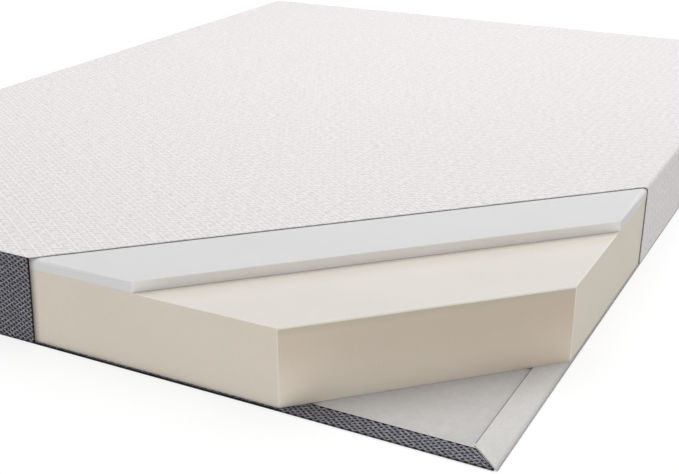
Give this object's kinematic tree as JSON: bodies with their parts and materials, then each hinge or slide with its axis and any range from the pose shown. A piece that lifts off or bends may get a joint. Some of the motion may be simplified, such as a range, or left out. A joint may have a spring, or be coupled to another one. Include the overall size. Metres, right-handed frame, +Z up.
{
  "type": "memory foam mattress",
  "caption": "Memory foam mattress in a knit cover, a front corner cut back in steps to show cover, memory foam, core and turned-in hems; zip across the head end.",
  "frame": {"origin": "centre of the underside", "axes": "+Y from the foot end to the head end, along the longest side; +Z up, along the thickness; the cut corner is at +X, -Y"},
  "size_m": [1.52, 2.0335, 0.15],
  "materials": {
    "core_foam": "matte",
    "adhesive": "satin",
    "memory_foam": "matte",
    "white_knit": "matte",
    "dark_lining": "matte",
    "grey_mesh": "matte",
    "bottom_cloth": "matte",
    "white_hem": "matte",
    "zip_tape": "matte",
    "zip_coil": "satin",
    "zip_metal": "satin",
    "label_cloth": "matte"
  },
  "bodies": {
    "mattress": {"core_foam": "core_foam", "foam_adhesive": "adhesive", "memory_foam": "memory_foam", "top_cover_knit": "white_knit", "top_cover_lining": "dark_lining", "foot_panel": "grey_mesh", "head_panel_lower": "grey_mesh", "head_panel_upper": "grey_mesh", "bottom_panel": "bottom_cloth", "foot_hem_backing": "white_hem", "foot_hem_strip": "grey_mesh", "head_hem_backing": "white_hem", "head_hem_strip": "grey_mesh", "side_hem_strip_right": "white_hem", "side_hem_strip_left": "white_hem", "zip_tape_upper": "zip_tape", "zip_coil_upper": "zip_coil", "zip_tape_lower": "zip_tape", "zip_coil_lower": "zip_coil", "zip_stops": "zip_metal", "care_label": "label_cloth"},
    "slider": {"zip_slider": "zip_metal"},
    "pull_tab": {"zip_pull_tab": "zip_metal"}
  },
  "joints": [
    {"name": "zip_slide", "type": "slide", "parent": "mattress", "child": "slider", "axis": [1, 0, 0], "range_m": [0, 1.4778]},
    {"name": "pull_tab_hinge", "type": "hinge", "parent": "slider", "child": "pull_tab", "pos_m": [-0.7389, 1.0169, 0.06], "axis": [0, 0, 1], "range_deg": [0, 180]}
  ]
}
